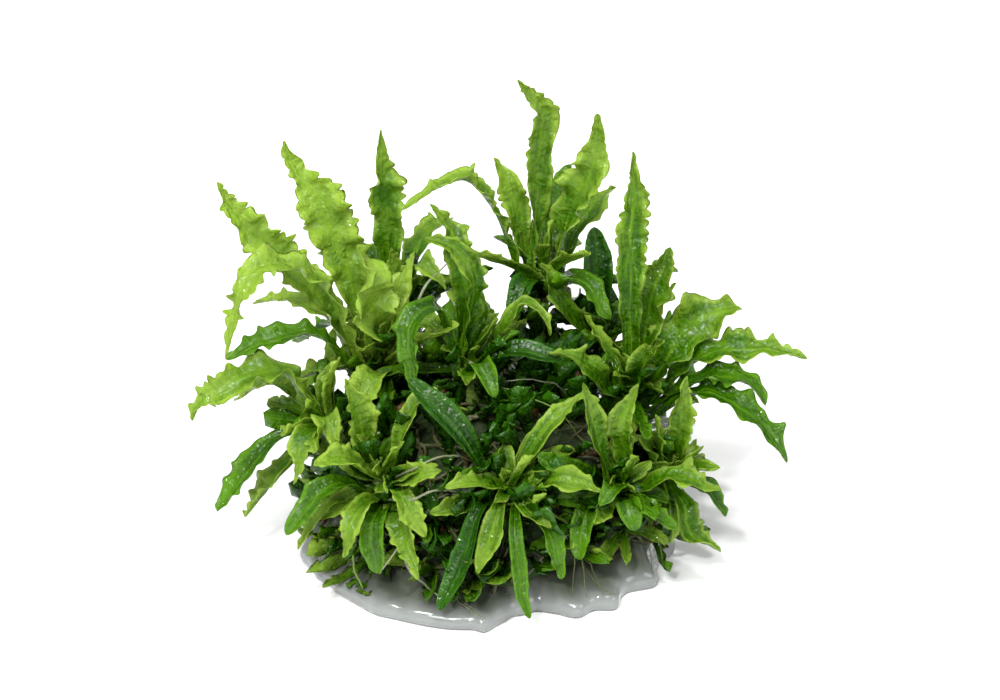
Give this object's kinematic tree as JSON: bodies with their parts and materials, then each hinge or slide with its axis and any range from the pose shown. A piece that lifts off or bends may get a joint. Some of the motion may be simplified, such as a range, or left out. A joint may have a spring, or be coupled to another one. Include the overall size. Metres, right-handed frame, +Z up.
{
  "type": "downoi",
  "caption": "Clump of ruffled green aquarium plantlets growing from a tangle of roots on a flat pad of translucent culture jelly.",
  "frame": {"origin": "middle of the jelly pad's flat underside", "axes": "+Z up, +X to the right of the pictured front, -Y towards the viewer of the picture"},
  "size_m": [0.1235, 0.087, 0.094],
  "materials": {
    "young_leaf": "wet light yellow-green leaf, thin and slightly translucent",
    "mature_leaf": "wet mid-green leaf",
    "old_leaf": "wet dark green, smooth leaf",
    "stem": "wet pale green stem with small leaves",
    "root_tangle": "dark tangle of roots, old stems and small leaves, wet",
    "culture_gel": "soft milky translucent jelly, wet"
  },
  "bodies": {
    "root": {"culture_gel": "culture_gel", "leaf_back_1": "young_leaf", "leaf_back_2": "young_leaf", "leaf_back_3": "young_leaf", "leaf_back_4": "young_leaf", "leaf_back_5": "mature_leaf", "leaf_back_left_1": "young_leaf", "leaf_back_left_2": "mature_leaf", "leaf_back_right_1": "old_leaf", "leaf_back_right_2": "mature_leaf", "leaf_front_1": "young_leaf", "leaf_front_2": "mature_leaf", "leaf_front_3": "young_leaf", "leaf_front_4": "old_leaf", "leaf_front_5": "old_leaf", "leaf_front_left_1": "young_leaf", "leaf_front_left_2": "mature_leaf", "leaf_front_left_3": "young_leaf", "leaf_front_right_1": "young_leaf", "leaf_front_right_2": "young_leaf", "leaf_front_right_3": "young_leaf", "leaf_left_1": "young_leaf", "leaf_left_2": "young_leaf", "leaf_left_3": "young_leaf", "leaf_left_4": "young_leaf", "leaf_left_5": "mature_leaf", "leaf_low_left_1": "young_leaf", "leaf_low_left_2": "mature_leaf", "leaf_low_right_1": "young_leaf", "leaf_low_right_2": "young_leaf", "leaf_middle_1": "young_leaf", "leaf_middle_2": "young_leaf", "leaf_middle_3": "mature_leaf", "leaf_middle_4": "old_leaf", "leaf_rear_1": "young_leaf", "leaf_rear_left_1": "mature_leaf", "leaf_rear_right_1": "mature_leaf", "leaf_right_1": "young_leaf", "leaf_right_2": "young_leaf", "leaf_right_3": "young_leaf", "leaf_right_4": "young_leaf", "leaf_right_5": "mature_leaf", "leaf_right_6": "mature_leaf", "root_tangle": "root_tangle", "stem_back": "stem", "stem_back_left": "stem", "stem_back_right": "stem", "stem_front": "stem", "stem_front_left": "stem", "stem_front_right": "stem", "stem_left": "stem", "stem_low_left": "stem", "stem_low_right": "stem", "stem_middle": "stem", "stem_rear": "stem", "stem_rear_left": "stem", "stem_rear_right": "stem", "stem_right": "stem"}
  },
  "joints": []
}
